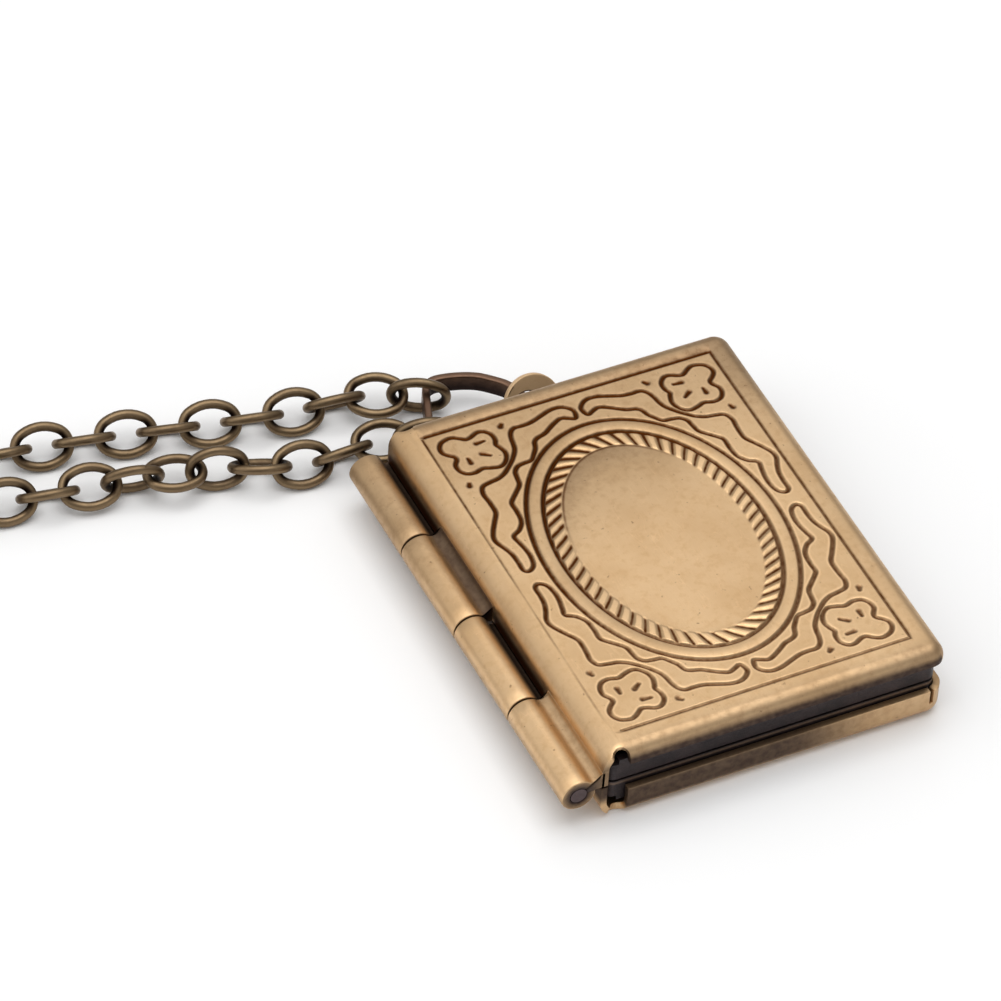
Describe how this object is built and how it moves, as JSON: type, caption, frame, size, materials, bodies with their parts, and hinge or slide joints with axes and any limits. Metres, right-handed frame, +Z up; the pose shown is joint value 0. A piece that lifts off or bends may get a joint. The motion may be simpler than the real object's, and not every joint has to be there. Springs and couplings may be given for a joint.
{
  "type": "locket necklace",
  "caption": "Book-shaped brass locket with an engraved cover, hinged along its spine, on an oval cable chain that lies in one long loop.",
  "frame": {"origin": "on the table, under the middle of the locket's back cover", "axes": "+Z up, +Y along the spine towards the ring, the hinge and the chain on the -X side"},
  "size_m": [0.2102, 0.096, 0.0048],
  "materials": {
    "gold_brass": "satin, worn",
    "dark_brass": "antiqued",
    "page_brown": "dark satin"
  },
  "bodies": {
    "root": {"back_cover": "gold_brass", "back_page_frame": "page_brown", "hinge_pin": "dark_brass", "bail_ring": "dark_brass", "chain_upper": "dark_brass", "chain_lower": "dark_brass", "clasp": "dark_brass"},
    "front": {"front_cover": "gold_brass", "front_page_frame": "page_brown"}
  },
  "joints": [
    {"name": "cover_hinge", "type": "hinge", "parent": "root", "child": "front", "pos_m": [-0.0112, 0, 0.00235], "axis": [0, -1, 0], "range_deg": [0, 178]}
  ]
}
